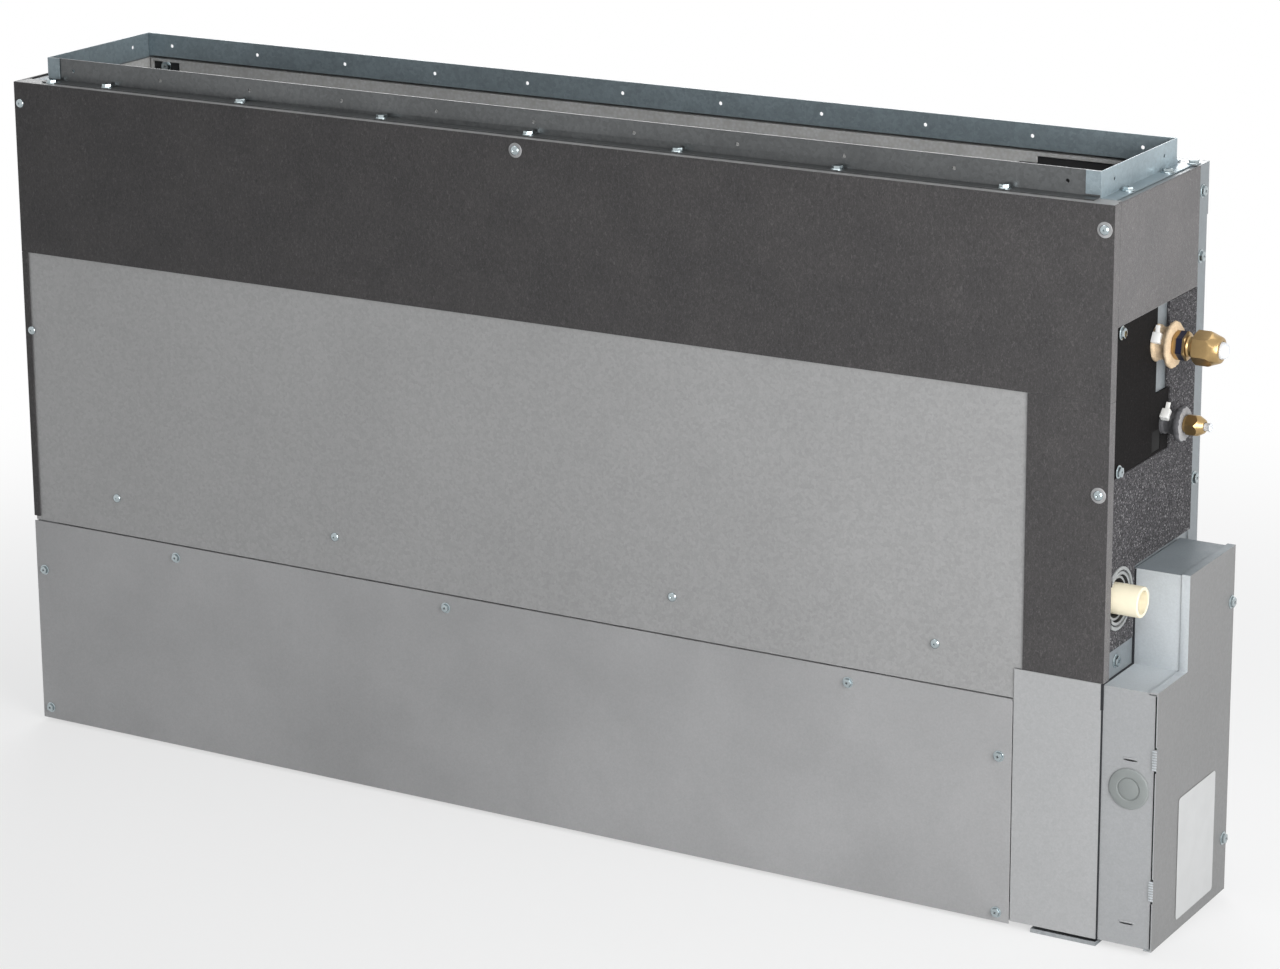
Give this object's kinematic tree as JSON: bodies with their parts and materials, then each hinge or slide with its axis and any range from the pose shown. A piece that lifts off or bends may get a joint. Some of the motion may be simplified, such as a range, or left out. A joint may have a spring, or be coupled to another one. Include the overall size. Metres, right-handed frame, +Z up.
{
  "type": "floor-ceiling air conditioner",
  "caption": "Slim concealed air-conditioner unit: galvanised casing with felt skins, duct collar, side pipe connections, drain and an electrical box, with fan, coil and filter inside.",
  "frame": {"origin": "centre of the bounding box's footprint, at the level that the foot channels stand on", "axes": "+X to the right seen from the front, towards the electrical box and the pipe connections; +Y to the rear, towards the wall; +Z up, towards the duct collar"},
  "size_m": [1.2036, 0.2022, 0.668],
  "materials": {
    "brass": "turned brass, satin",
    "circuit_board": "green circuit board",
    "copper": "drawn copper tube, satin",
    "felt_dark_grey": "pressed non-woven felt, matt",
    "fin_aluminium": "aluminium fins",
    "foam_faced_black": "black foam-faced plate, matt",
    "foam_speckled": "coarse closed-cell foam, matt with fine pale speckles",
    "galvanised_sheet": "zinc-coated steel sheet with a fine spangle, satin",
    "liner_white": "expanded foam, matt off-white",
    "pipe_cream": "hard cream plastic pipe, slightly glossy",
    "plastic_black": "black plastic, satin",
    "plastic_grey": "grey plastic, satin",
    "plastic_white": "white plastic, satin",
    "shaft_steel": "turned steel",
    "sleeve_beige": "beige foam sleeve, matt",
    "sleeve_grey": "grey foam sleeve, matt",
    "zinc_screw": "zinc-plated steel, bright"
  },
  "bodies": {
    "casing": {"base_plate": "galvanised_sheet", "blanking_plug": "plastic_grey", "box_cover": "galvanised_sheet", "box_screw_lower": "zinc_screw", "box_screw_upper": "zinc_screw", "coil_end_plate_left": "galvanised_sheet", "coil_end_plate_right": "galvanised_sheet", "coil_fin_pack": "fin_aluminium", "coil_header": "copper", "collar_front": "galvanised_sheet", "collar_left": "galvanised_sheet", "collar_rear": "galvanised_sheet", "collar_right": "galvanised_sheet", "control_board": "circuit_board", "drain_pan": "liner_white", "drain_pipe": "pipe_cream", "drain_socket": "plastic_white", "electrical_box": "galvanised_sheet", "fan_deck": "galvanised_sheet", "fan_motor": "shaft_steel", "felt_front": "felt_dark_grey", "felt_left": "felt_dark_grey", "felt_right_column": "felt_dark_grey", "felt_right_side": "felt_dark_grey", "foam_right_side": "foam_speckled", "foot_channel_left": "galvanised_sheet", "foot_channel_right": "galvanised_sheet", "gas_pipe": "copper", "gas_sleeve": "sleeve_beige", "gas_tie": "plastic_white", "gas_union": "brass", "hanging_bracket_left": "galvanised_sheet", "hanging_bracket_right": "galvanised_sheet", "label_plate": "plastic_white", "left_liner": "liner_white", "left_side_panel": "galvanised_sheet", "liquid_pipe": "copper", "liquid_sleeve": "sleeve_grey", "liquid_tie": "plastic_white", "liquid_union": "brass", "lower_front_panel": "galvanised_sheet", "motor_cradle": "galvanised_sheet", "pipe_cover_plate": "foam_faced_black", "rear_liner": "liner_white", "rear_panel": "galvanised_sheet", "right_corner_panel": "galvanised_sheet", "right_side_panel": "galvanised_sheet", "scroll_left": "galvanised_sheet", "scroll_right": "galvanised_sheet", "terminal_block": "plastic_black", "upper_front_panel": "galvanised_sheet"},
    "fan_rotor": {"fan_wheel_left": "plastic_black", "fan_wheel_right": "plastic_black", "fan_shaft": "shaft_steel"},
    "filter": {"filter_frame": "plastic_black", "filter_mesh": "plastic_black"},
    "gas_plug": {"gas_plug": "plastic_white"},
    "gas_nut": {"gas_flare_nut": "brass"},
    "liquid_plug": {"liquid_plug": "plastic_white"},
    "liquid_nut": {"liquid_flare_nut": "brass"}
  },
  "joints": [
    {"name": "fan_spin", "type": "hinge", "parent": "casing", "child": "fan_rotor", "pos_m": [-0.03175, -0.00515, 0.14], "axis": [1, 0, 0], "continuous": true},
    {"name": "filter_drop", "type": "slide", "parent": "casing", "child": "filter", "axis": [0, 0, -1], "range_m": [0, 0.04]},
    {"name": "gas_nut_turn", "type": "hinge", "parent": "casing", "child": "gas_plug", "pos_m": [0.56875, -0.00215, 0.509], "axis": [1, 0, 0], "range_deg": [0, 1440]},
    {"name": "gas_nut_travel", "type": "slide", "parent": "gas_plug", "child": "gas_nut", "axis": [1, 0, 0], "range_m": [0, 0.0064]},
    {"name": "liquid_nut_turn", "type": "hinge", "parent": "casing", "child": "liquid_plug", "pos_m": [0.55915, 0.01585, 0.436], "axis": [1, 0, 0], "range_deg": [0, 1440]},
    {"name": "liquid_nut_travel", "type": "slide", "parent": "liquid_plug", "child": "liquid_nut", "axis": [1, 0, 0], "range_m": [0, 0.0052]}
  ],
  "couplings": [
    {"joint": "gas_nut_travel", "follows": "gas_nut_turn", "m_per_rad": 0.00025266},
    {"joint": "liquid_nut_travel", "follows": "liquid_nut_turn", "m_per_rad": 0.00020213}
  ]
}
